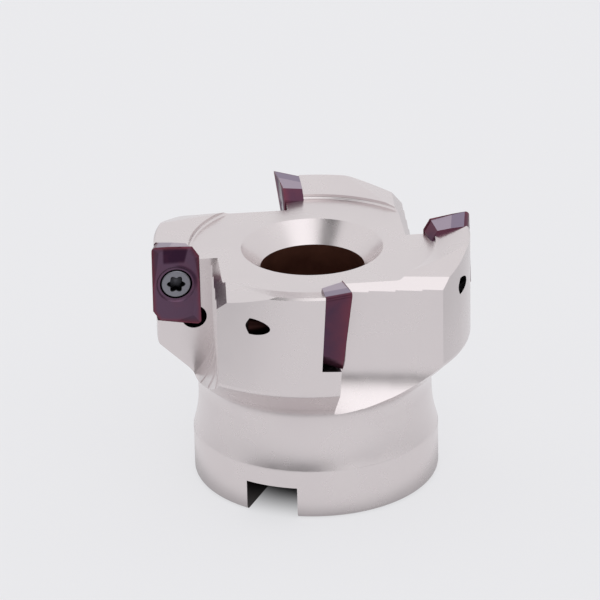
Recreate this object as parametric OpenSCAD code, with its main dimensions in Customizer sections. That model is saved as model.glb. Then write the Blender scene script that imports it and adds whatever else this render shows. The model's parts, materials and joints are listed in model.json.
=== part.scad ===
// Arbor-mounted 90 degree face mill with four indexable inserts.
// Z is the spindle axis. The hub stands on z = 0 and the inserts cut at the top.
// Each station is built facing +X and then turned to its place.

/* [Cutter] */
// Cutting diameter, over the insert noses
cut_d = 63; // [50:1:80]
// Height from the hub face to the insert tips
overall_h = 50; // [44:1:60]
// Depth of cut that the body periphery clears
body_clear = 1.05; // [0.5:0.05:2]
// How far the insert tips stand above the tooth tops
tip_stand = 1; // [0.8:0.1:3]
// Height of the straight head, from the tips down to its cone
head_h = 21.1; // [19:0.1:24]

/* [Hub] */
// Outer diameter of the hub
hub_d = 48; // [40:1:50]
// Height of the straight part of the hub
hub_h = 9.4; // [7:0.1:12]
// Chamfer on the lower edge of the hub
hub_chamfer = 1; // [0.2:0.1:1.5]
// Diameter of the waist between hub and head
waist_d = 45.6; // [36:0.1:47]
// Radius of the hollow under the head
waist_fillet = 7; // [4:0.5:9]
// Radius of the hollow above the hub
hub_fillet = 26; // [6:1:28]
// Radius that rounds the cone into the head
shoulder_r = 1.5; // [0.5:0.1:4]
// Bevel along the top of each tooth
tooth_bevel = 0.4; // [0.1:0.1:0.8]

/* [Arbor seat] */
// Bore for the arbor spigot
arbor_bore_d = 22; // [16:1:27]
// Depth of the arbor bore
arbor_bore_h = 20; // [16:0.5:22]
// Chamfer at the mouth of the arbor bore
bore_chamfer = 1; // [0.3:0.1:1.5]
// Clearance hole for the arbor screw
clamp_hole_d = 11; // [8:0.5:13]
// Pocket for the head of the arbor screw
counterbore_d = 20.2; // [16:0.1:21]
// Thickness of the web that the arbor screw clamps
clamp_web = 9.5; // [8:0.5:12]
// Mouth of the conical opening in the front face
mouth_d = 27.4; // [22:0.1:30]
// Depth of the conical opening
mouth_h = 4; // [2:0.1:5]
// Width of the slot for the drive keys
slot_w = 10.4; // [8:0.1:12.4]
// Depth of the slot for the drive keys
slot_h = 6.3; // [5:0.1:7]
// Direction of the drive slot
slot_az = 68; // [0:1:180]

/* [Front face] */
// Fall of the tooth tops toward the spindle axis
dish_h = 1.6; // [0:0.1:2]
// Depth of the turned recess inside the teeth
recess_h = 0.95; // [0.6:0.05:3]
// Diameter of the turned recess
recess_d = 47.6; // [44:0.1:52]
// Slope of the relief behind each tooth
relief_angle = 16.5; // [6:0.5:20]
// Turn of the relief across the tooth
relief_skew = 12; // [0:1:25]
// Distance from the nose back to the relief
relief_back = 13.9; // [12:0.1:18]

/* [Inserts] */
// Angle of the nose ahead of the station
nose_az = 13.3; // [8:0.1:16]
// Tilt of the seat that leads the tips
axial_rake = 3.7; // [0:0.1:8]
// Turn of the seat about the spindle axis
seat_yaw = 6; // [0:0.5:9]
// Insert length
insert_l = 17; // [15:0.1:18]
// Insert width
insert_w = 9.2; // [8:0.1:10.5]
// Insert thickness at the nose
insert_t = 4.85; // [4:0.05:5.5]
// Insert thickness at the far end of the edge
insert_t_low = 3.65; // [3:0.05:4]
// Insert thickness around the screw
insert_t_mid = 4.2; // [4:0.05:4.5]
// Width of the sloping band along each long edge
band_w = 2.3; // [1.5:0.1:3]
// Nose radius
nose_r = 0.8; // [0.4:0.1:1.2]
// Length of the blunt corners along the insert
blunt_l = 2; // [1:0.1:3]
// Width of the blunt corners across the insert
blunt_w = 1.3; // [0.8:0.1:2]
// Skew of the short edges
edge_skew = 5; // [0:1:8]
// Clearance angle of the long flanks
side_clearance = 11; // [7:1:15]
// Clearance angle of the short flanks
end_clearance = 16; // [11:1:20]
// Gap between insert and pocket walls
pocket_gap = 0.05; // [0.03:0.01:0.2]

/* [Insert screw] */
// Thread diameter
thread_d = 4; // [3:0.5:4.5]
// Pitch of the thread
thread_pitch = 0.7; // [0.5:0.05:0.8]
// Depth of the drilled hole below the seat
tap_drill_h = 13.6; // [12:0.1:15]
// Depth of the thread below the seat
thread_h = 8; // [7:0.5:9]
// Screw length, head included
screw_l = 10.8; // [9:0.1:12]
// Head diameter
head_d = 5.7; // [5:0.1:6]
// Straight rim of the head
head_rim = 0.5; // [0.3:0.1:0.8]
// Half angle of the head's cone
head_half_angle = 30; // [30:1:45]
// Clearance, across, between the thread and the insert's hole
hole_gap = 0.5; // [0.2:0.1:1]
// How far the head lies below the middle of the insert
head_sink = 0.1; // [0:0.05:0.5]
// Gap between screw and thread or seat
thread_gap = 0.04; // [0.02:0.01:0.1]
// Size of the six-lobe socket over its lobes
socket_d = 3.35; // [2.5:0.05:3.5]
// Depth of the six-lobe socket
socket_h = 1.4; // [1:0.1:1.8]

/* [Gullets] */
// Strip of body between insert and gullet floor
strip_w = 2.3; // [2:0.1:4]
// Turn of the gullet floor toward the axis
gullet_yaw = 3.5; // [0:0.5:6]
// Radius that sweeps the gullet floor outward
gullet_r = 13; // [9:0.5:15]
// Depth from the tips to the start of that sweep
gullet_h = 19; // [17.5:0.5:21]
// Chamfer along the top of the gullet floor
gullet_chamfer = 1.1; // [0.5:0.1:1.6]
// Fall of that chamfer along the gullet
chamfer_fall = 1.5; // [0:0.5:3]
// Width of one milling pass on the gullet floor
pass_w = 5.1; // [4:0.1:6]
// Turn of each milling pass, which leaves a fine ridge
pass_turn = 1.5; // [0.5:0.1:2.5]
// Relief drilled in the inner corner of the pocket
corner_relief_d = 4.9; // [4:0.1:5.5]

/* [Hidden] */
$fn = 96;

teeth = 4;
far = 2 * cut_d;              // longer than anything it cuts
eps = 0.01;
passes = 5;                   // enough to clear the widest gullet

body_r = cut_d / 2 - body_clear;
hub_r = hub_d / 2;
waist_r = waist_d / 2;
tooth_top = overall_h - tip_stand;
tooth_inner = tooth_top - dish_h;
face_z = tooth_inner - recess_h;
head_z = overall_h - head_h;
recess_fillet = 0.5;
half_cone = 22.5;             // half the turn of a 45 degree cone
drill_point = 59;             // half angle of a drill's point
tip_chamfer = 0.4;            // on the screw's end
corner_in = [1, 1.3, -0.8];   // place of the corner relief, from the insert's corner
relief_reach = 21;            // the tooth relief stays on its own tooth
relief_past = 3;

// The insert's nose point, and the seat centre that puts it there
nose = [cut_d / 2 * cos(nose_az), cut_d / 2 * sin(nose_az), overall_h];
function from_seat(l, w, n) =
    let (y = n * cos(axial_rake) + l * sin(axial_rake),
         z = l * cos(axial_rake) - n * sin(axial_rake))
    [w * cos(seat_yaw) - y * sin(seat_yaw), w * sin(seat_yaw) + y * cos(seat_yaw), z];
seat = nose - from_seat(insert_l / 2, insert_w / 2, insert_t);

floor_x = nose.x - insert_w * cos(seat_yaw) - strip_w;
wall_y = seat.y + insert_t_low * cos(seat_yaw);
counterbore_z = arbor_bore_h + clamp_web;
mouth_z = face_z - mouth_h;

side_inset = insert_t * tan(side_clearance);
end_inset = insert_t * tan(end_clearance);
rake_drop = atan((insert_t - insert_t_low) / insert_l);
pocket_top = insert_t + 1;    // just past the insert

head_z_top = insert_t_mid - head_sink;
cone_h = (head_d - thread_d) / 2 / tan(head_half_angle);
screw_tip = head_z_top - screw_l;
tap_drill_d = thread_d - thread_pitch;
lobe_d = 0.26 * socket_d;      // a six-lobe socket's own proportions
socket_root_d = 0.72 * socket_d;

// ---- places -------------------------------------------------------------

module at_station(k) {
    rotate([0, 0, (k - 1) * 360 / teeth]) children();
}

// In a seat's own frame X runs along the insert, Y outward and Z off the seat
module at_seat() {
    translate(seat)
        rotate([0, 0, seat_yaw])
            rotate([-axial_rake, 0, 0])
                rotate([-90, -90, 0]) children();
}

// A block on one side of a plane: x > 0, centred on the origin in y and z
module half_space() {
    translate([0, -far / 2, -far / 2]) cube([far, far, far]);
}

function arc(c, r, a0, a1, steps) =
    [for (i = [0 : steps]) let (a = a0 + (a1 - a0) * i / steps) [c.x + r * cos(a), c.y + r * sin(a)]];

// ---- cutter body ----------------------------------------------------------

// Hub, waist, 45 degree cone and head, as one turned outline
module turned_body() {
    cone_foot = head_z - (body_r - waist_r);            // where cone and waist would meet
    hollow = acos(1 - (hub_r - waist_r) / hub_fillet);  // turn of the hollow above the hub
    rotate_extrude($fn = 180)
        polygon(concat(
            [[0, 0], [hub_r - hub_chamfer, 0], [hub_r, hub_chamfer]],
            arc([waist_r + hub_fillet, hub_h + hub_fillet * sin(hollow)], hub_fillet, 180 + hollow, 180, 4),
            arc([waist_r + waist_fillet, cone_foot - waist_fillet * tan(half_cone)], waist_fillet, 180, 135, 6),
            arc([body_r - shoulder_r, head_z + shoulder_r * tan(half_cone)], shoulder_r, -45, 0, 3),
            [[body_r, tooth_top - tooth_bevel], [body_r - tooth_bevel, tooth_top]],
            [[recess_d / 2, tooth_inner]],
            arc([recess_d / 2 - recess_fillet, face_z + recess_fillet], recess_fillet, 0, -90, 4),
            [[0, face_z]]));
}

module arbor_seat() {
    translate([0, 0, -eps]) cylinder(d = arbor_bore_d, h = arbor_bore_h + eps);
    translate([0, 0, -eps])
        cylinder(d1 = arbor_bore_d + 2 * (bore_chamfer + eps), d2 = arbor_bore_d, h = bore_chamfer + eps);
    cylinder(d = clamp_hole_d, h = overall_h);
    translate([0, 0, counterbore_z]) cylinder(d = counterbore_d, h = overall_h);
    translate([0, 0, mouth_z]) cylinder(d1 = counterbore_d, d2 = mouth_d, h = mouth_h);
    translate([0, 0, face_z - eps]) cylinder(d = mouth_d, h = overall_h);
}

module drive_slot() {
    rotate([0, 0, slot_az])
        translate([-far / 2, -slot_w / 2, -far]) cube([far, slot_w, far + slot_h]);
}

// Outline of a gullet, out along X and up: its floor and the outward sweep
module gullet_outline() {
    sweep_z = overall_h - gullet_h;
    polygon(concat(
        [[far, far], [0, far]],
        arc([gullet_r, sweep_z], gullet_r, 180, 262, 12),
        [[far, sweep_z - gullet_r]]));
}

// The gullet is milled in passes side by side, each turned by a trace
module gullet() {
    difference() {
        translate([floor_x, wall_y, 0]) rotate([0, 0, gullet_yaw]) {
            translate([0, 0, seat.z]) rotate([-axial_rake, 0, 0]) translate([0, 0, -seat.z])
                for (i = [-1 : passes])
                    translate([0, i * pass_w - eps, 0])
                        rotate([90, 0, -pass_turn])
                            translate([0, 0, -pass_w - 2 * eps])
                                linear_extrude(pass_w + 2 * eps) gullet_outline();
            translate([0, 0, face_z - gullet_chamfer])
                rotate([-chamfer_fall, 0, 0]) rotate([0, -45, 0]) half_space();
        }
        at_seat() translate([0, 0, insert_t_low]) rotate([0, 90, 0]) half_space();
    }
}

// Seat, side wall and end wall that hold one insert
module pocket() {
    intersection() {
        translate([-far / 2, -far / 2, 0]) cube([far, far, pocket_top]);
        translate([0, -insert_w / 2 - pocket_gap, insert_t])
            rotate([0, -side_clearance, 90]) half_space();
        translate([-insert_l / 2 - pocket_gap, -insert_w / 2, 0])
            rotate([0, 0, -edge_skew]) half_space();
    }
}

module corner_relief() {
    translate([-insert_l / 2, -insert_w / 2, 0]) translate(corner_in)
        cylinder(d = corner_relief_d, h = 2 * insert_t);
}

module tapped_hole() {
    tip = tap_drill_d / 2 / tan(drill_point);
    translate([0, 0, -thread_h]) cylinder(d = thread_d + 2 * thread_gap, h = thread_h + eps);
    translate([0, 0, -tap_drill_h]) cylinder(d = tap_drill_d, h = tap_drill_h);
    translate([0, 0, -tap_drill_h - tip]) cylinder(d1 = 0, d2 = tap_drill_d, h = tip + eps);
}

// Slope cut across the trailing half of a tooth's top
module tooth_relief() {
    start = nose.y - relief_back;
    intersection() {
        translate([nose.x, start, tooth_top])
            rotate([0, 0, relief_skew]) rotate([relief_angle, 0, 0])
                translate([-far, -far, 0]) cube([2 * far, far, far]);
        translate([nose.x - relief_reach, -floor_x - relief_past, 0]) cube([far, far, far]);
    }
}

module cutter_body() {
    color("#cdc8c6")
        difference() {
            turned_body();
            arbor_seat();
            drive_slot();
            for (k = [1 : teeth])
                at_station(k) {
                    gullet();
                    tooth_relief();
                    at_seat() {
                        pocket();
                        corner_relief();
                        tapped_hole();
                    }
                }
        }
}

// ---- inserts ----------------------------------------------------------------

// Parallelogram with two nose corners and two blunt corners, shrunk by dl and dw
module insert_outline(dl, dw) {
    l = insert_l / 2 - dl;
    w = insert_w / 2 - dw;
    skew = 2 * w * tan(edge_skew);
    for (s = [0, 180])
        rotate(s)
            hull() {
                translate([l - nose_r, w - nose_r]) circle(nose_r, $fn = 32);
                polygon([[l - skew + blunt_w * tan(edge_skew), blunt_w - w], [l - skew - blunt_l, -w],
                         [0, -w], [0, w - nose_r]]);
            }
}

module insert(k) {
    color("#5a465f")
        at_station(k) at_seat()
            difference() {
                hull() {
                    translate([0, 0, insert_t - eps]) linear_extrude(eps) insert_outline(0, 0);
                    linear_extrude(eps) insert_outline(end_inset, side_inset);
                }
                // lower bands along the cutting edges, then the floor around the screw
                for (s = [0, 180])
                    rotate([0, 0, s])
                        translate([insert_l / 2, insert_w / 2 - band_w, insert_t])
                            rotate([0, -rake_drop, 0])
                                translate([-far, 0, 0]) cube([far, far, far]);
                translate([-far / 2, band_w - insert_w / 2, insert_t_mid])
                    cube([far, insert_w - 2 * band_w, far]);
                translate([0, 0, -eps]) cylinder(d = thread_d + hole_gap, h = far);
                screw_seat(thread_gap);
            }
}

// ---- insert screws ------------------------------------------------------------

// The head's cone and rim, grown by a gap where it is cut from the insert
module screw_seat(gap) {
    cone_z = head_z_top - head_rim - cone_h;
    grow = gap / cos(head_half_angle);
    translate([0, 0, cone_z])
        cylinder(d1 = thread_d + 2 * grow, d2 = head_d + 2 * grow, h = cone_h);
    translate([0, 0, cone_z + cone_h - eps])
        cylinder(d = head_d + 2 * grow, h = gap > 0 ? insert_t : head_rim + eps);
}

module six_lobe_socket() {
    cylinder(d = socket_root_d, h = far);
    for (i = [0 : 5])
        rotate([0, 0, i * 60])
            translate([(socket_d - lobe_d) / 2, 0, 0]) cylinder(d = lobe_d, h = far, $fn = 32);
}

module insert_screw(k) {
    color("#77777c")
        at_station(k) at_seat()
            difference() {
                union() {
                    screw_seat(0);
                    translate([0, 0, screw_tip + tip_chamfer])
                        cylinder(d = thread_d, h = screw_l - tip_chamfer - head_rim);
                    translate([0, 0, screw_tip])
                        cylinder(d1 = thread_d - 2 * tip_chamfer, d2 = thread_d, h = tip_chamfer);
                }
                translate([0, 0, head_z_top - socket_h]) six_lobe_socket();
            }
}

cutter_body();
insert(1);  // insert_1
insert(2);  // insert_2
insert(3);  // insert_3
insert(4);  // insert_4
insert_screw(1);  // insert_screw_1
insert_screw(2);  // insert_screw_2
insert_screw(3);  // insert_screw_3
insert_screw(4);  // insert_screw_4
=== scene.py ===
import json
import math

import bpy
from mathutils import Matrix, Vector


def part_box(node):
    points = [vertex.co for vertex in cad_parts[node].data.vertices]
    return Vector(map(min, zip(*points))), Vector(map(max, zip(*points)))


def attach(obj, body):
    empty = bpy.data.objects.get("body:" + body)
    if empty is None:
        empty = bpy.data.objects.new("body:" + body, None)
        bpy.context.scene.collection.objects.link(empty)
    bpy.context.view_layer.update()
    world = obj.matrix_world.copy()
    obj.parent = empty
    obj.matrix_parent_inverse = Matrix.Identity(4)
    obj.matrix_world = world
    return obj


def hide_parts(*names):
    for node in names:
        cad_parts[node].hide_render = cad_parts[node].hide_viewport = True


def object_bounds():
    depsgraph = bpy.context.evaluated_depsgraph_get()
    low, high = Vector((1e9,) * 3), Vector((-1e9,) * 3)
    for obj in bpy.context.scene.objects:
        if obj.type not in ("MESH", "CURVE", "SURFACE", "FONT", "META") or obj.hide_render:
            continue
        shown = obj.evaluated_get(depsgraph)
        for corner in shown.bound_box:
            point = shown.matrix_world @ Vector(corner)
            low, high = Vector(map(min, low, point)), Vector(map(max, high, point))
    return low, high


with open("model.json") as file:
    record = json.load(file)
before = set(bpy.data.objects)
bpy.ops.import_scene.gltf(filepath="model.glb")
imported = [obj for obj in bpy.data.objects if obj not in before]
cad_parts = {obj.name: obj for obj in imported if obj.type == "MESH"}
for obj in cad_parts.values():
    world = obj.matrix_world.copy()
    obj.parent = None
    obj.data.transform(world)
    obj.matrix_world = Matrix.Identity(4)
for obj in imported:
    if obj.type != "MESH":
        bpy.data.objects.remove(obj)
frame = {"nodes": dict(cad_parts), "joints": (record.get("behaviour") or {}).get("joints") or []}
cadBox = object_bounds()
nodes = frame["nodes"]
print("frame loaded:", len(nodes), "nodes")

mm = 0.001
stations = 4


def linear(hexColour):
    channels = [int(hexColour[i:i + 2], 16) / 255 for i in (1, 3, 5)]
    return tuple(c / 12.92 if c <= 0.04045 else ((c + 0.055) / 1.055) ** 2.4 for c in channels) + (1,)


def addNode(tree, kind, inputs={}, **settings):
    node = tree.nodes.new("ShaderNode" + kind)
    for name, value in settings.items():
        setattr(node, name, value)
    for key, value in inputs.items():
        if isinstance(value, bpy.types.NodeSocket):
            tree.links.new(value, node.inputs[key])
        else:
            node.inputs[key].default_value = value
    return node


def newMaterial(name):
    material = bpy.data.materials.new(name)
    material.use_nodes = True
    material.node_tree.nodes.clear()
    return material, material.node_tree


def move(x, y, z):
    return Matrix.Translation((x, y, z))


def turn(x, y, z):  # degrees, about X first, then Y, then Z
    spin = [Matrix.Rotation(math.radians(a), 4, axis) for a, axis in ((z, "Z"), (y, "Y"), (x, "X"))]
    return spin[0] @ spin[1] @ spin[2]


def newObject(name, points, faces, place=Matrix.Identity(4)):  # points in millimetres
    mesh = bpy.data.meshes.new(name)
    mesh.from_pydata([place @ Vector(p) for p in points], [], faces)
    mesh.validate()
    mesh.update()
    thing = bpy.data.objects.new(name, mesh)
    bpy.context.scene.collection.objects.link(thing)
    return thing


def arc(cx, cy, radius, start, end, steps):
    angles = [math.radians(start + (end - start) * i / steps) for i in range(steps + 1)]
    return [(cx + radius * math.cos(a), cy + radius * math.sin(a)) for a in angles]


def rings(loops):  # joins loops of equal length, or single points, into one closed skin
    points, index, faces = [], [], []
    for loop in loops:
        index.append(list(range(len(points), len(points) + len(loop))))
        points += loop
    count = max(len(loop) for loop in loops)
    for low, high in zip(index, index[1:]):
        for i in range(count):
            corners = [low[i % len(low)], low[(i + 1) % len(low)],
                       high[(i + 1) % len(high)], high[i % len(high)]]
            face = [c for n, c in enumerate(corners) if c not in corners[:n]]
            faces.append(face)
    return points, faces


# profile runs from axis to axis, as (radius, height)
def turned(name, profile, steps=96, place=Matrix.Identity(4)):
    loops = []
    for radius, height in profile:
        if radius < 1e-6:
            loops.append([(0, 0, height)])
        else:
            loops.append([(x, y, height) for x, y in arc(0, 0, radius, 0, 360, steps)[:-1]])
    return newObject(name, *rings(loops), place)


# the outline is anticlockwise and is extruded along Z
def prism(name, outline, low, high, place=Matrix.Identity(4)):
    count = len(outline)
    points = [(x, y, z) for z in (low, high) for x, y in outline]
    faces = [[i, (i + 1) % count, count + (i + 1) % count, count + i] for i in range(count)]
    faces += [list(range(count))[::-1], list(range(count, 2 * count))]
    return newObject(name, points, faces, place)


def block(name, low, high, place=Matrix.Identity(4)):
    (x0, y0, z0), (x1, y1, z1) = low, high
    return prism(name, [(x0, y0), (x1, y0), (x1, y1), (x0, y1)], z0, z1, place)


def combine(thing, other, how):
    modifier = thing.modifiers.new(how.lower(), "BOOLEAN")
    modifier.operation = how
    modifier.solver = "MANIFOLD"
    modifier.object = other


def settle(thing):  # turns the modifiers into plain mesh
    bpy.context.view_layer.update()
    solid = bpy.data.meshes.new_from_object(thing.evaluated_get(bpy.context.evaluated_depsgraph_get()))
    thing.modifiers.clear()
    thing.data = solid


def smoothTo(thing, degrees):  # smooth shading, with edges above this angle left crisp
    thing.data.shade_smooth()
    thing.data.set_sharp_from_angle(angle=math.radians(degrees))
    modifier = thing.modifiers.new("faces", "WEIGHTED_NORMAL")
    modifier.keep_sharp = True
    modifier.weight = 100
    settle(thing)


def standFor(thing, body, slot, *cadNodes):
    thing.data.transform(Matrix.Scale(mm, 4))
    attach(thing, body)
    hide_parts(*cadNodes)


# Nickel plate over tumbled steel: a pale, warm satin metal that blurs what it mirrors.
def satinNickel():
    material, tree = newMaterial("satinNickel")
    look = {"colour": "#e3dcdb", "shade": "#dad2d3", "smooth": 0.22, "rough": 0.30, "cloud": 9}
    place = addNode(tree, "TexCoord").outputs["Object"]
    cloud = addNode(tree, "TexNoise", {"Vector": place, "Scale": 1 / (look["cloud"] * mm), "Detail": 4.0,
                                       "Roughness": 0.6})
    tint = addNode(tree, "Mix", {0: cloud.outputs["Fac"], 6: linear(look["shade"]),
                                 7: linear(look["colour"])}, data_type="RGBA")
    rough = addNode(tree, "MapRange", {"Value": cloud.outputs["Fac"], "From Min": 0.3, "From Max": 0.7,
                                       "To Min": look["smooth"], "To Max": look["rough"]})
    metal = addNode(tree, "BsdfPrincipled", {"Base Color": tint.outputs[2], "Metallic": 1.0,
                                             "Roughness": rough.outputs["Result"]})
    addNode(tree, "OutputMaterial", {"Surface": metal.outputs["BSDF"]})
    return material


# Bare bored steel, dark brown as painted shade for the bore's dim inside: nearly black, with a brown sheen.
def boreShadeSteel():
    material, tree = newMaterial("boreShadeSteel")
    look = {"colour": "#8a5c4a", "deep": "#48261f", "roughness": 0.42, "feed": 0.25}
    place = addNode(tree, "TexCoord").outputs["Object"]
    smear = addNode(tree, "TexNoise", {"Vector": place, "Scale": 1 / (5 * mm), "Detail": 3.0})
    tint = addNode(tree, "Mix", {0: smear.outputs["Fac"], 6: linear(look["deep"]),
                                 7: linear(look["colour"])}, data_type="RGBA")
    # boring leaves one fine ring for each turn's feed; at scale 1 the waves are 0.314 apart
    feed = addNode(tree, "TexWave", {"Vector": place, "Scale": 0.314 / (look["feed"] * mm),
                                     "Distortion": 0.6}, bands_direction="Z")
    bump = addNode(tree, "Bump", {"Strength": 0.1, "Distance": 0.004 * mm, "Height": feed.outputs["Fac"]})
    metal = addNode(tree, "BsdfPrincipled", {"Base Color": tint.outputs[2], "Metallic": 0.8,
                                             "Roughness": look["roughness"],
                                             "Normal": bump.outputs["Normal"]})
    addNode(tree, "OutputMaterial", {"Surface": metal.outputs["BSDF"]})
    return material


# Steel in the drilled and slotted hollows: near-black as painted shade, so that their depth reads.
def hollowShadeSteel():
    material, tree = newMaterial("hollowShadeSteel")
    look = {"colour": "#261614", "roughness": 0.35}
    metal = addNode(tree, "BsdfPrincipled", {"Base Color": linear(look["colour"]), "Metallic": 1.0,
                                             "Roughness": look["roughness"]})
    addNode(tree, "OutputMaterial", {"Surface": metal.outputs["BSDF"]})
    return material


# Vapour-deposited nitride on carbide: dark violet, redder where the film thins towards an edge,
# and a paler grey-violet on the ground end flanks; a darker plum is painted shade on one end and one side of
# the rake face and on the flanks, the screw hole is painted near-black as shade, and the second ground facet
# is a darker painted shade of the ground tint.
def violetNitride():
    material, tree = newMaterial("violetNitride")
    look = {"face": "#60495c", "edge": "#743f4c", "facetShade": "#372134", "ground": "#a99ba9", "land": "#8d8093",
            "pitShade": "#08060a", "roughness": 0.3, "grain": 0.06}
    place = addNode(tree, "TexCoord").outputs["Object"]
    thinning = addNode(tree, "Attribute", attribute_name="edge").outputs["Fac"]
    facetShade = addNode(tree, "Attribute", attribute_name="facetShade").outputs["Fac"]
    zone = addNode(tree, "Attribute", attribute_name="zone").outputs["Fac"]
    cloud = addNode(tree, "TexNoise", {"Vector": place, "Scale": 1 / (2.5 * mm), "Detail": 3.0})
    wander = addNode(tree, "MapRange", {"Value": cloud.outputs["Fac"], "From Min": 0.3, "From Max": 0.7,
                                        "To Min": -0.12, "To Max": 0.12})
    filmAndFacetShade = addNode(tree, "Math", {0: thinning, 1: wander.outputs["Result"]}, operation="ADD", use_clamp=True)

    layers = [(facetShade, "facetShade"), (filmAndFacetShade.outputs["Value"], "edge")]
    for level, colour in ((0.5, "ground"), (0.7, "land"), (1.0, "pitShade")):
        inZone = addNode(tree, "Math", {0: zone, 1: level, 2: 0.05}, operation="COMPARE")
        layers.append((inZone.outputs["Value"], colour))
    tint = linear(look["face"])
    for share, colour in layers:
        tint = addNode(tree, "Mix", {0: share, 6: tint, 7: linear(look[colour])}, data_type="RGBA").outputs[2]
    grain = addNode(tree, "TexNoise", {"Vector": place, "Scale": 1 / (look["grain"] * mm), "Detail": 2.0})
    rounded = addNode(tree, "Bevel", {"Radius": 0.06 * mm}, samples=4)
    bump = addNode(tree, "Bump", {"Strength": 0.1, "Distance": 0.008 * mm, "Height": grain.outputs["Fac"],
                                  "Normal": rounded.outputs["Normal"]})
    metal = addNode(tree, "BsdfPrincipled", {"Base Color": tint, "Metallic": 1.0,
                                             "Roughness": look["roughness"],
                                             "Normal": bump.outputs["Normal"]})
    addNode(tree, "OutputMaterial", {"Surface": metal.outputs["BSDF"]})
    return material


# Phosphated screw steel: a dull mid grey, with painted shade that goes black inside the socket.
def phosphatedSteel():
    material, tree = newMaterial("phosphatedSteel")
    look = {"face": "#85858c", "pitShade": "#060607", "roughness": 0.33, "grain": 0.1}
    place = addNode(tree, "TexCoord").outputs["Object"]
    depth = addNode(tree, "Attribute", attribute_name="edge")
    tint = addNode(tree, "Mix", {0: depth.outputs["Fac"], 6: linear(look["face"]),
                                 7: linear(look["pitShade"])}, data_type="RGBA")
    grain = addNode(tree, "TexNoise", {"Vector": place, "Scale": 1 / (look["grain"] * mm), "Detail": 2.0})
    bump = addNode(tree, "Bump", {"Strength": 0.2, "Distance": 0.01 * mm, "Height": grain.outputs["Fac"]})
    metal = addNode(tree, "BsdfPrincipled", {"Base Color": tint.outputs[2], "Metallic": 1.0,
                                             "Roughness": look["roughness"],
                                             "Normal": bump.outputs["Normal"]})
    addNode(tree, "OutputMaterial", {"Surface": metal.outputs["BSDF"]})
    return material


nickel = satinNickel()
boreShade = boreShadeSteel()
hollowShade = hollowShadeSteel()
nitride = violetNitride()
phosphate = phosphatedSteel()
print("finishes made")

# A seat's own frame has X along the insert, Y outward and Z off the seat, in millimetres
screwTurns = {joint["child"]: joint for joint in frame["joints"] if joint["type"] == "hinge"}
pivotHeight = 4.1  # the screw's joint sits this far off the seat


def seatFrame(k):
    joint = screwTurns[f"insert_screw_{k}"]
    off = Vector(joint["axis"]).normalized()
    out = off.cross(Vector((0, 0, 1))).normalized()
    up = out.cross(off)
    centre = Vector(joint["pos_m"]) / mm - off * pivotHeight
    matrix = Matrix((up, out, off)).transposed().to_4x4()
    matrix.translation = centre
    return matrix


firstSeat = seatFrame(1)

body = {
    "height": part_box("cutter_body")[1].z / mm,
    "radius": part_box("cutter_body")[1].x / mm,
    "tips": cadBox[1].z / mm,
    "hubRadius": 24, "hubHeight": 9.4, "hubRound": 1,
    "waistRadius": 22.8, "waistHollow": 7, "hubHollow": 26, "shoulder": 1.5, "headBottom": 28.9,
    "toothBevel": 0.4,
    "recessRadius": 23.8, "dish": 1.6, "recess": 0.95, "recessFillet": 0.5,
    "boreRadius": 11, "boreDepth": 20, "boreChamfer": 1,
    "clampRadius": 5.5, "counterboreRadius": 10.1, "counterboreFloor": 29.5,
    "mouthRadius": 13.7, "mouthDepth": 4,
    "slotWidth": 10.4, "slotDepth": 6.3, "slotTurn": 68,
    "reliefSlope": 16.5, "reliefTurn": 12, "reliefBack": 13.9, "reliefReach": (21, 19), "reliefPast": 3,
}
body["innerTop"] = body["height"] - body["dish"]
body["face"] = body["innerTop"] - body["recess"]
insert = {
    "length": 17, "width": 9.2, "high": 4.85, "low": 3.65, "middle": 4.2,
    "nose": 0.8, "skew": 5, "sideClearance": 11, "endClearance": 16,
    "land": 0.16, "fall": 17, "rise": 20, "spotRadius": 3.55, "spotHeight": 3.98,
    "mouthRadius": 3.12, "holeRadius": 2.25, "headSeat": 2.49, "spotRise": 0.8,
    "wiperIn": 0.18, "wiperWidth": 3.4, "bluntLength": 2, "bluntWidth": 1.3, "bluntLift": 0.1, "bluntIn": 2.8,
    "skewCosine": 0.996, "footBreak": 0.15, "mouthRim": ((0.03, 3.6), (0.15, 3.5)),
}
gullet = {
    "strip": 2.3, "turn": 3.5, "sweep": 13, "depth": 19, "chamfer": 1.1, "chamferFall": 1.5,
    "pass": 5.1, "passTurn": 2.2, "passes": 6, "overlap": 0.02, "sweepEnd": 262, "rake": 3.7,
}
pocket = {
    "gap": 0.05, "openLength": 14, "openWidth": 12,
    "relief": 2.45, "reliefIn": (1, 1.3), "reliefBelow": 0.8, "reliefHigh": 10, "reliefTop": 9,
}
tap = {"thread": 2.04, "threadDepth": 8, "drill": 1.65, "drillDepth": 13.6, "point": 59}
far = 126  # longer than anything that it cuts


def bodyOutline():
    b = body
    hollow = math.degrees(math.acos(1 - (b["hubRadius"] - b["waistRadius"]) / b["hubHollow"]))
    half = math.tan(math.radians(22.5))
    coneFoot = b["headBottom"] - (b["radius"] - b["waistRadius"])
    outline = [(0, 0), (b["hubRadius"] - b["hubRound"], 0)]
    outline += arc(b["hubRadius"] - b["hubRound"], b["hubRound"], b["hubRound"], -80, 0, 8)
    hollowCentre = b["hubHeight"] + b["hubHollow"] * math.sin(math.radians(hollow))
    outline += arc(b["waistRadius"] + b["hubHollow"], hollowCentre, b["hubHollow"], 180 + hollow, 180, 12)
    outline += arc(b["waistRadius"] + b["waistHollow"], coneFoot - b["waistHollow"] * half,
                   b["waistHollow"], 180, 135, 16)
    outline += arc(b["radius"] - b["shoulder"], b["headBottom"] + b["shoulder"] * half,
                   b["shoulder"], -45, 0, 8)
    outline += [(b["radius"], b["height"] - b["toothBevel"]), (b["radius"] - b["toothBevel"], b["height"]),
                (b["recessRadius"], b["innerTop"])]
    outline += arc(b["recessRadius"] - b["recessFillet"], b["face"] + b["recessFillet"],
                   b["recessFillet"], 0, -90, 8)
    return outline + [(0, b["face"])]


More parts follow.
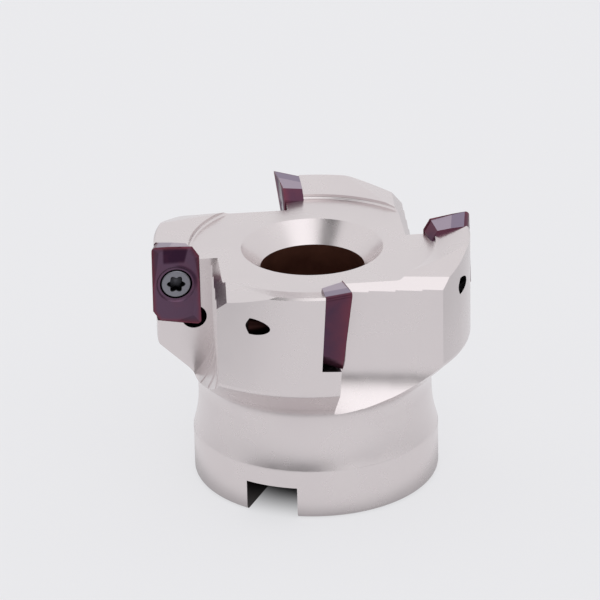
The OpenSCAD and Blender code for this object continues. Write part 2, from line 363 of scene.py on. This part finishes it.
def boreCutters():
    b = body
    arbor = turned("arborBore", [
        (0, -1), (b["boreRadius"] + b["boreChamfer"] + 1, -1), (b["boreRadius"], b["boreChamfer"]),
        (b["boreRadius"], b["boreDepth"]), (b["clampRadius"], b["boreDepth"]),
        (b["clampRadius"], b["counterboreFloor"]), (b["counterboreRadius"], b["counterboreFloor"]),
        (b["counterboreRadius"], b["face"] - b["mouthDepth"]), (b["mouthRadius"], b["face"]),
        (b["mouthRadius"], b["height"] + 1), (0, b["height"] + 1)], 192)
    slot = block("driveSlot", (-far, -b["slotWidth"] / 2, -1), (far, b["slotWidth"] / 2, b["slotDepth"]),
                 turn(0, 0, b["slotTurn"]))
    return [arbor, slot]


def gulletCutters(station, noseX, seat):
    g = gullet
    floorX = noseX - insert["width"] * math.cos(seatYaw) - g["strip"]
    wallY = seat.translation.y + insert["low"] * math.cos(seatYaw)
    sweepZ = body["tips"] - g["depth"]
    outline = arc(g["sweep"], sweepZ, g["sweep"], 180, g["sweepEnd"], 40)
    outline = outline + [(far, sweepZ - g["sweep"]), (far, far), (0, far)]
    start = move(floorX, wallY, 0) @ turn(0, 0, g["turn"])
    lean = move(0, 0, seat.translation.z) @ turn(-g["rake"], 0, 0) @ move(0, 0, -seat.translation.z)
    behind = block("behindSeat", (-far, -far, -far), (far, far, insert["low"]), station @ seat)
    cutters = []
    for i in range(-1, g["passes"]):
        place = start @ lean @ move(0, i * g["pass"], 0) @ turn(90, 0, -g["passTurn"])
        cutters.append(prism("gulletPass", outline, -g["pass"] - g["overlap"], 0, station @ place))
    chamferPlace = start @ move(0, 0, body["face"] - g["chamfer"]) \
        @ turn(-g["chamferFall"], 0, 0) @ turn(0, -45, 0)
    cutters.append(block("gulletChamfer", (0, -far, -far), (far, far, far), station @ chamferPlace))
    for cutter in cutters:
        combine(cutter, behind, "DIFFERENCE")
    return cutters, [behind]


def pocketCutter(place):
    halfL, halfW = insert["length"] / 2 + pocket["gap"], insert["width"] / 2 + pocket["gap"]
    lean, skew = math.tan(math.radians(insert["sideClearance"])), math.tan(math.radians(insert["skew"]))
    points = []
    for n in (0, insert["high"] + 1):
        inner = -halfW + lean * (insert["high"] - n)
        for w in (inner, pocket["openWidth"]):
            points += [(-halfL + skew * (w + insert["width"] / 2), w, n), (pocket["openLength"], w, n)]
    faces = [[0, 2, 3, 1], [4, 5, 7, 6], [0, 1, 5, 4], [2, 6, 7, 3], [0, 4, 6, 2], [1, 3, 7, 5]]
    return newObject("pocket", points, faces, place)


def reliefCutter(station, nose, seat):
    floorX = nose.x - insert["width"] * math.cos(seatYaw) - gullet["strip"]
    place = move(nose.x, nose.y - body["reliefBack"], body["height"]) @ turn(0, 0, body["reliefTurn"]) \
        @ turn(body["reliefSlope"], 0, 0)
    slope = block("reliefSlope", (-far, -far, 0), (far, 0, far), station @ place)
    inward, outward = body["reliefReach"]
    past = body["reliefPast"]
    limit = block("reliefLimit", (nose.x - inward, -floorX - past, body["face"] - past),
                  (nose.x + outward, far, far), station)
    combine(slope, limit, "INTERSECT")
    return slope, limit


def holeCutters(place):
    inL, inW = pocket["reliefIn"]
    radius, high = pocket["relief"], pocket["reliefHigh"]
    foot = move(inL - insert["length"] / 2, inW - insert["width"] / 2, -pocket["reliefBelow"])
    corner = turned("cornerRelief", [(0, 0), (radius, 0), (radius, high), (0, high)], 64, place @ foot)
    tip = tap["drill"] / math.tan(math.radians(tap["point"]))
    hole = turned("tappedHole", [
        (0, -tap["drillDepth"] - tip), (tap["drill"], -tap["drillDepth"]),
        (tap["drill"], -tap["threadDepth"]), (tap["thread"], -tap["threadDepth"]),
        (tap["thread"], 1), (0, 1)], 64, place)
    return [corner, hole]


seatYaw = math.atan2(-firstSeat.col[2].x, firstSeat.col[2].y)
nosePoint = firstSeat @ Vector((insert["length"] / 2, insert["width"] / 2, insert["high"]))
# how far off its surface a point may lie and still count as on it
slack = {"bore": 0.05, "slot": 0.01, "holeSide": 0.02, "holeFoot": 0.05, "holeMouth": 0.01}


def inBore(point):
    reach, mouth = math.hypot(point.x, point.y), body["face"] - body["mouthDepth"]
    inScrewSeat = reach < body["counterboreRadius"] + slack["bore"] and point.z < mouth - slack["bore"]
    inArborBore = reach < body["boreRadius"] + slack["bore"] and point.z < body["boreDepth"] + slack["bore"]
    return inScrewSeat or inArborBore


def inSlot(point):  # with the slot turned to lie along X
    off = slack["slot"]
    return abs(point.y) < body["slotWidth"] / 2 + off and -off < point.z < body["slotDepth"] + off


def inHole(point):  # in a seat's own frame: the thread with its tap drill, and the relief in the corner
    inL, inW = pocket["reliefIn"]
    fromThread = math.hypot(point.x, point.y)
    fromCorner = math.hypot(point.x - inL + insert["length"] / 2, point.y - inW + insert["width"] / 2)
    inThread = fromThread < tap["thread"] + slack["holeSide"] \
        and -tap["drillDepth"] - slack["holeFoot"] < point.z < slack["holeMouth"]
    inRelief = fromCorner < pocket["relief"] + slack["holeSide"] \
        and -pocket["reliefBelow"] - slack["holeFoot"] < point.z < pocket["reliefTop"]
    return inThread or inRelief


def buildBody():
    solid = turned("cutterBody", bodyOutline(), 256)
    cutters, helpers = boreCutters(), []
    for k in range(1, stations + 1):
        station = turn(0, 0, (k - 1) * 360 / stations)
        passes, behind = gulletCutters(station, nosePoint.x, firstSeat)
        slope, limit = reliefCutter(station, nosePoint, firstSeat)
        cutters += passes + [slope, pocketCutter(station @ firstSeat)] + holeCutters(station @ firstSeat)
        helpers += behind + [limit]
    for cutter in cutters:
        combine(solid, cutter, "DIFFERENCE")
    settle(solid)
    for thing in cutters + helpers:
        bpy.data.objects.remove(thing)
    solid.data.materials.clear()
    solid.data.materials.append(nickel)
    solid.data.materials.append(boreShade)
    solid.data.materials.append(hollowShade)
    seats = [seatFrame(k).inverted() for k in range(1, stations + 1)]
    slotTurn = turn(0, 0, -body["slotTurn"])
    for face in solid.data.polygons:
        corners = [solid.data.vertices[v].co for v in face.vertices]
        # faces inside the bores take the dark brown steel: painted shade
        if inBore(face.center):
            face.material_index = 1
        # faces of the drive slot and of the seat holes take the near-black steel: painted shade
        elif all(inSlot(slotTurn @ corner) for corner in corners):
            face.material_index = 2
        elif any(all(inHole(seat @ corner) for corner in corners) for seat in seats):
            face.material_index = 2
    smoothTo(solid, 24)
    return solid


cutterBody = buildBody()
standFor(cutterBody, "cutter_body", "body_steel", "cutter_body")
print("cutter body built:", len(cutterBody.data.polygons), "faces")


def divided(a, b, steps):  # a straight edge, evenly divided, without its last point
    return [(a[0] + (b[0] - a[0]) * i / steps, a[1] + (b[1] - a[1]) * i / steps) for i in range(steps)]


def insertOutline(inL, inW):  # two nose corners and two blunt corners, shrunk by inL and inW
    i = insert
    halfL, halfW = i["length"] / 2 - inL, i["width"] / 2 - inW
    shift = 2 * halfW * math.tan(math.radians(i["skew"]))
    noseArc = arc(halfL - i["nose"], halfW - i["nose"], i["nose"], -4, 90, 12)
    wiper = (halfL - i["wiperIn"], halfW - i["wiperWidth"])
    bluntStart = (halfL - shift - i["bluntLength"], -halfW)
    bluntEnd = (halfL - shift + i["bluntLift"], i["bluntWidth"] - halfW)
    path, marks = [], []
    for a, b, steps in ((bluntStart, bluntEnd, 8), (bluntEnd, wiper, 18), (wiper, noseArc[0], 14)):
        marks.append(len(path))
        path += divided(a, b, steps)
    marks.append(len(path))
    path += noseArc[:-1] + divided(noseArc[-1], (-bluntStart[0], -bluntStart[1]), 48)
    return path + [(-l, -w) for l, w in path], marks


def edgeHeight(l, w):  # the whole cutting edge lies on a saddle, high at the two noses
    saddle = (insert["high"] - insert["low"]) / 2
    share = (l / (insert["length"] / 2)) * (w / (insert["width"] / 2))
    return (insert["high"] + insert["low"]) / 2 + saddle * max(-1, min(1, share))


def rakeHeight(l, w, inward):  # inward is the distance in from the outline
    i = insert
    base = edgeHeight(l, w)
    drop = base - math.tan(math.radians(i["fall"])) * max(0, inward - i["land"])
    climb = base + math.tan(math.radians(i["rise"])) * max(0, inward - i["land"])
    height = min(max(i["middle"], drop), climb)
    spot = i["spotHeight"] + max(0, math.hypot(l, w) - i["spotRadius"]) * i["spotRise"]
    return min(height, spot)


def soft(value, low, high):  # 0 at low, 1 at high, smooth between
    share = min(1, max(0, (value - low) / (high - low)))
    return share * share * (3 - 2 * share)


# where painted shade darkens the rake face: pairs are millimetres, or radians for the turn about the screw
rakeShade = {
    "end": (4.2, 5.0), "tip": (0.1, 0.5), "inner": (-2.0, -1.6), "outer": (2.1, 2.6),
    "slant": 0.25, "slantFrom": 5,
    "ringInner": (3.3, 3.5), "ringOuter": (3.9, 4.4), "turnFrom": (-0.2, 0.3), "turnTo": (1.4, 2.1),
    "ringShare": 0.8,
}


def facetShadeTint(l, w):  # painted shade: the nose end is darker, and so is one side of the rim beside the screw head
    d = rakeShade
    end = soft(l, *d["end"]) * soft(insert["length"] / 2 - l, *d["tip"])
    across = soft(w + (l - d["slantFrom"]) * d["slant"], *d["inner"]) * (1 - soft(w, *d["outer"]))
    radius, around = math.hypot(l, w), math.atan2(-w, l)
    ring = soft(radius, *d["ringInner"]) * (1 - soft(radius, *d["ringOuter"]))
    side = soft(around, *d["turnFrom"]) * (1 - soft(around, *d["turnTo"]))
    return max(end * across, d["ringShare"] * ring * side)


# how much the film thins at an edge, and over how many millimetres that fades
thinned = {"flank": 0.8, "flankFade": 2.2, "end": 0.5, "endFade": 3, "rakeFade": 0.55}


def insertMesh(k):
    top, marks = insertOutline(0, 0)
    lean = [math.tan(math.radians(a)) for a in (insert["endClearance"], insert["sideClearance"])]
    foot, _ = insertOutline(insert["high"] * lean[0], insert["high"] * lean[1])
    count, half = len(top), len(top) // 2
    angles = [math.atan2(w, l) for l, w in top]
    hole, mouth = insert["holeRadius"], insert["mouthRadius"]
    loops, wear, shadeLevels, zones = [], [], [], []

    def addLoop(loop, worn, zone, shadeLevel):  # zone is for the skin that leads up to this loop
        loops.append(loop)
        wear.append(worn)
        zones.append(zone)
        shadeLevels.append(shadeLevel)

    # zone 1.0, the default, paints the screw hole's skins near-black: painted shade
    def circle(radius, height, zone=1.0):
        loop = [(radius * math.cos(a), radius * math.sin(a), height) for a in angles]
        addLoop(loop, [0.0] * count, [zone] * count, [0.0] * count)

    # zone 0.7 marks the second ground facet, tinted darker than the first as painted shade
    def groundZone(i):  # the short flank is ground in two facets
        if marks[1] <= i % half < marks[2]:
            return 0.5
        return 0.7 if marks[2] <= i % half < marks[3] else 0.0

    circle(hole, insert["headSeat"])
    circle(hole, insert["footBreak"])
    circle(hole + insert["footBreak"], 0, 0.0)
    for depth in (1, 0.97, 0.9, 0.8, 0.7, 0.6, 0.5, 0.4, 0.3, 0.2, 0.12, 0.06, 0.02, 0):
        loop, worn = [], []
        for i, ((l, w), (fl, fw)) in enumerate(zip(top, foot)):
            start = 1 - edgeHeight(l, w) / insert["high"]
            share = start + (1 - start) * depth
            loop.append((l + (fl - l) * share, w + (fw - w) * share, insert["high"] * (1 - share)))
            along = max(0, (insert["length"] / 2 - abs(l)) / thinned["endFade"])
            worn.append(max(thinned["flank"] * math.exp(-depth * insert["high"] / thinned["flankFade"]),
                            thinned["end"] * math.exp(-along)))
        # the flanks carry half of the painted facet shade
        addLoop(loop, worn, [groundZone(i) if depth < 1 else 0.0 for i in range(count)], [0.5] * count)
    steps = 44  # the loops lie closer together near the cutting edge
    for s in range(1, steps + 1):
        share = (s / steps) ** 1.5
        loop, worn = [], []
        for (l, w), a in zip(top, angles):
            x, y = l + (mouth * math.cos(a) - l) * share, w + (mouth * math.sin(a) - w) * share
            inward = distanceIn(x, y)
            loop.append((x, y, rakeHeight(x, y, inward)))
            worn.append(math.exp(-(inward / thinned["rakeFade"]) ** 2))
        addLoop(loop, worn, [0.0] * count, [facetShadeTint(l, w) for l, w, height in loop])
    for inward, height in insert["mouthRim"]:
        circle(mouth - inward, height)
    circle(hole, insert["headSeat"])
    points, faces = rings(loops)
    thing = newObject(f"insert_{k}_coated", points, faces)
    edge = thing.data.attributes.new("edge", "FLOAT", "POINT")
    edge.data.foreach_set("value", [v for loop in wear for v in loop])
    # the facetShade attribute is painted shade on the rake face and the flanks
    filmAndFacetShade = thing.data.attributes.new("facetShade", "FLOAT", "POINT")
    filmAndFacetShade.data.foreach_set("value", [v for loop in shadeLevels for v in loop])
    zone = thing.data.attributes.new("zone", "FLOAT", "FACE")
    zone.data.foreach_set("value", [v for loop in zones[1:] for v in loop])
    return thing


def distanceIn(x, y):  # distance from a point on the rake face to the nearest edge
    halfL, halfW = insert["length"] / 2, insert["width"] / 2
    if y < 0 or (y == 0 and x < 0):
        x, y = -x, -y
    # with y positive: the long edge, then the short edge near the nose and the far blunt corner
    slope = math.tan(math.radians(insert["skew"]))
    long = halfW - y
    near = (halfL - slope * (halfW - y) - x) * insert["skewCosine"]
    farEnd = (halfL - slope * (halfW + y) + x) * insert["skewCosine"]
    run, rise = insert["bluntLength"] + insert["bluntLift"], insert["bluntWidth"]
    blunt = ((halfL - insert["bluntIn"] + x) * rise + (halfW - y) * run) / math.hypot(rise, run)
    return max(0, min(long, near, farEnd, blunt))


def buildInsert(k):
    thing = insertMesh(k)
    mesh = thing.data
    bpy.context.view_layer.update()
    mesh.transform(seatFrame(k))
    mesh.materials.append(nitride)
    smoothTo(thing, 20)
    return thing


for k in range(1, stations + 1):
    standFor(buildInsert(k), f"insert_{k}", "coated_carbide", f"insert_{k}")
print("inserts built")

screw = {
    "top": 4.1, "tip": -6.7, "headRadius": 2.83, "rim": 0.5, "coneFoot": 2.13, "threadRadius": 2.0,
    "tipBreak": 0.6, "tipHeight": 0.2, "headRound": 0.28, "flatRadius": 2.2, "crown": 0.005,
    "threadTop": 1.0, "pitch": 0.7, "threadDepth": 0.4, "runOut": 0.3, "steep": 1.25, "crest": 0.1,
    "lobes": 6, "lobeOut": 1.675, "lobeIn": 1.2, "lobeShape": 0.85, "socketDepth": 1.4,
    "firstTurn": 12, "turnStep": 25,
}


def lobeRadius(angle):
    swing = (1 + math.cos(screw["lobes"] * angle)) / 2
    return screw["lobeIn"] + (screw["lobeOut"] - screw["lobeIn"]) * swing ** screw["lobeShape"]


def threadRadius(angle, height):
    s = screw
    phase = (height / s["pitch"] - angle / (2 * math.pi)) % 1
    ridge = 1 - abs(2 * phase - 1)
    fade = min(1, (s["threadTop"] - height) / s["pitch"], (height - s["tip"]) / s["pitch"] + s["runOut"])
    cut = min(1, max(0, s["steep"] * (1 - ridge) - s["crest"]))
    return s["threadRadius"] - s["threadDepth"] * max(0, fade) * cut


def buildScrew(k):
    s = screw
    count = 144
    angles = [2 * math.pi * i / count for i in range(count)]
    loops, dark = [[(0, 0, s["tip"])]], [[0.0]]

    def loop(radius, height, darkness=0.0):
        reach = radius if callable(radius) else (lambda a: radius)
        loops.append([(reach(a) * math.cos(a), reach(a) * math.sin(a), height) for a in angles])
        dark.append([darkness] * count)

    loop(s["threadRadius"] - s["tipBreak"], s["tip"])
    steps = int((s["threadTop"] - s["tip"]) / (s["pitch"] / 9))
    for i in range(steps + 1):
        height = s["tip"] + s["tipHeight"] + (s["threadTop"] - s["tip"] - s["tipHeight"]) * i / steps
        loop(lambda a, h=height: threadRadius(a, h), height)
    loop(s["threadRadius"], s["coneFoot"])
    loop(s["headRadius"], s["top"] - s["rim"])
    rounding = s["headRound"]
    for x, z in arc(s["headRadius"] - rounding, s["top"] - rounding, rounding, 0, 90, 6):
        loop(x, z)
    loop(s["flatRadius"], s["top"] + s["crown"])
    # each ring's darkness is painted shade, deepest down in the socket
    socket = [(0.16, 0, 0), (0.1, 0.02, 0.75), (0, 0.1, 0.95), (-0.01, 0.6, 1.0),
              (-0.02, s["socketDepth"], 1.0), (-0.08, s["socketDepth"] + 0.06, 0.9)]
    for grow, depth, darkness in socket:
        loop(lambda a, g=grow: lobeRadius(a) + g, s["top"] - depth, darkness)
    loop(0.5, s["top"] - s["socketDepth"] - 0.12, 0.8)
    loops.append([(0, 0, s["top"] - s["socketDepth"] - 0.3)])
    dark.append([0.6])
    points, faces = rings(loops)
    place = seatFrame(k) @ turn(0, 0, s["firstTurn"] + s["turnStep"] * k)
    thing = newObject(f"insert_screw_{k}_threaded", points, faces, place)
    # here the edge attribute carries the painted socket shade
    attribute = thing.data.attributes.new("edge", "FLOAT", "POINT")
    attribute.data.foreach_set("value", [v for ring in dark for v in ring])
    thing.data.materials.append(phosphate)
    smoothTo(thing, 32)
    return thing


for k in range(1, stations + 1):
    standFor(buildScrew(k), f"insert_screw_{k}", "screw_steel", f"insert_screw_{k}")
print("screws built")

studio = {"floorSize": 8.0, "floorColour": "#7a7a7c", "floorGlow": 0.65, "paper": "#fdfdff",
          "horizon": 0.88, "zenith": 0.92, "riseFrom": 0.25, "riseTo": 0.85}
# Where the floor's painted glow dims: from and to in metres, and the share of light at each
floorFades = {"foot": (0.0245, 0.031, 0.55, 1.0), "sides": (0.03, 0.12, 1.0, 0.74),
              "ahead": (-0.9, -0.25, 0.4, 1.0), "under": (0.012, 0.025, 0.0, 1.0)}
# Soft areas of the tent: the way each lies, how far it spreads along X, Y and Z, and how bright it is
patches = [
    {"centre": (-0.4, -0.85, 0.06), "spread": (1.0, 1.0, 0.2), "core": 0.35, "shade": 0.1},
    {"centre": (0.22, -0.7, 0.65), "spread": (0.6, 0.75, 0.52), "core": 0.5, "shade": 1.5},
    {"centre": (-0.38, -0.42, 0.82), "spread": (0.24, 0.34, 0.3), "core": 0.55, "shade": 0.1},
]


def buildFloor():
    half = studio["floorSize"] / 2
    floor = newObject("floor", [(-half, -half, 0), (half, -half, 0), (half, half, 0), (-half, half, 0)],
                      [[0, 1, 2, 3]])
    material, tree = newMaterial("paperSweep")
    # the floor glows as painted light, which keeps the shadow faint except under the object itself;
    # what the metal mirrors is a dimmer floor at its foot, out to its sides and far in front: painted shade
    # in its reflections
    place = addNode(tree, "TexCoord").outputs["Object"]
    away = addNode(tree, "VectorMath", {0: place}, operation="LENGTH").outputs["Value"]
    split = addNode(tree, "SeparateXYZ", {"Vector": place})
    beside = addNode(tree, "Math", {0: split.outputs["X"]}, operation="ABSOLUTE").outputs["Value"]

    levels = {}
    for part, value in (("foot", away), ("sides", beside), ("ahead", split.outputs["Y"]), ("under", away)):
        start, end, first, last = floorFades[part]
        fade = addNode(tree, "MapRange", {"Value": value, "From Min": start, "From Max": end,
                                          "To Min": first, "To Max": last}, interpolation_type="SMOOTHSTEP")
        levels[part] = fade.outputs["Result"]
    dim = levels["foot"]
    for part in ("sides", "ahead"):
        dim = addNode(tree, "Math", {0: dim, 1: levels[part]}, operation="MULTIPLY").outputs["Value"]
    mirrored = addNode(tree, "LightPath").outputs["Is Glossy Ray"]
    glow = addNode(tree, "Mix", {0: mirrored, 2: 1.0, 3: dim}).outputs[0]
    for share in (levels["under"], studio["floorGlow"]):
        glow = addNode(tree, "Math", {0: glow, 1: share}, operation="MULTIPLY").outputs["Value"]
    matte = addNode(tree, "BsdfPrincipled", {"Base Color": linear(studio["floorColour"]), "Roughness": 0.9,
                                             "Specular IOR Level": 0.1,
                                             "Emission Color": linear(studio["paper"]),
                                             "Emission Strength": glow})
    addNode(tree, "OutputMaterial", {"Surface": matte.outputs["BSDF"]})
    floor.data.materials.append(material)


def addPatch(tree, way, level, patch):
    spread = [1 / reach for reach in patch["spread"]]
    offset = addNode(tree, "VectorMath", {0: way, 1: patch["centre"]}, operation="SUBTRACT")
    scaled = addNode(tree, "VectorMath", {0: offset.outputs["Vector"], 1: spread}, operation="MULTIPLY")
    away = addNode(tree, "VectorMath", {0: scaled.outputs["Vector"]}, operation="LENGTH")
    share = addNode(tree, "MapRange", {"Value": away.outputs["Value"], "From Min": patch["core"],
                                       "From Max": 1.0, "To Min": patch["shade"], "To Max": 1.0},
                    interpolation_type="SMOOTHSTEP")
    lit = addNode(tree, "Math", {0: level, 1: share.outputs["Result"]}, operation="MULTIPLY")
    return lit.outputs["Value"]


def buildSky():
    world = bpy.data.worlds.new("softTent")
    world.use_nodes = True
    tree = world.node_tree
    tree.nodes.clear()
    way = addNode(tree, "TexCoord").outputs["Generated"]
    rise = addNode(tree, "SeparateXYZ", {"Vector": way}).outputs["Z"]
    upward = addNode(tree, "MapRange", {"Value": rise, "From Min": studio["riseFrom"],
                                        "From Max": studio["riseTo"], "To Min": studio["horizon"],
                                        "To Max": studio["zenith"]})
    level = upward.outputs["Result"]
    for patch in patches:
        level = addPatch(tree, way, level, patch)
    glow = addNode(tree, "Background", {"Color": linear(studio["paper"]), "Strength": level})
    addNode(tree, "OutputWorld", {"Surface": glow.outputs["Background"]})
    bpy.context.scene.world = world


# The camera stands in front and a little above, and is rolled very slightly
view = {"target": (-0.00255, 0, 0.03517), "distance": 0.7323, "rise": 24.264, "roll": -1.352, "lens": 226.71}


def addCamera():
    camera = bpy.data.cameras.new("camera")
    camera.lens = view["lens"]
    camera.sensor_width = 36
    camera.clip_start = 0.01
    thing = bpy.data.objects.new("camera", camera)
    thing.matrix_world = move(*view["target"]) @ turn(90 - view["rise"], 0, 0) @ turn(0, 0, view["roll"]) \
        @ move(0, 0, view["distance"])
    bpy.context.scene.collection.objects.link(thing)
    bpy.context.scene.camera = thing


buildFloor()
buildSky()
addCamera()
bpy.context.scene.view_settings.view_transform = "Standard"
print("studio lit")
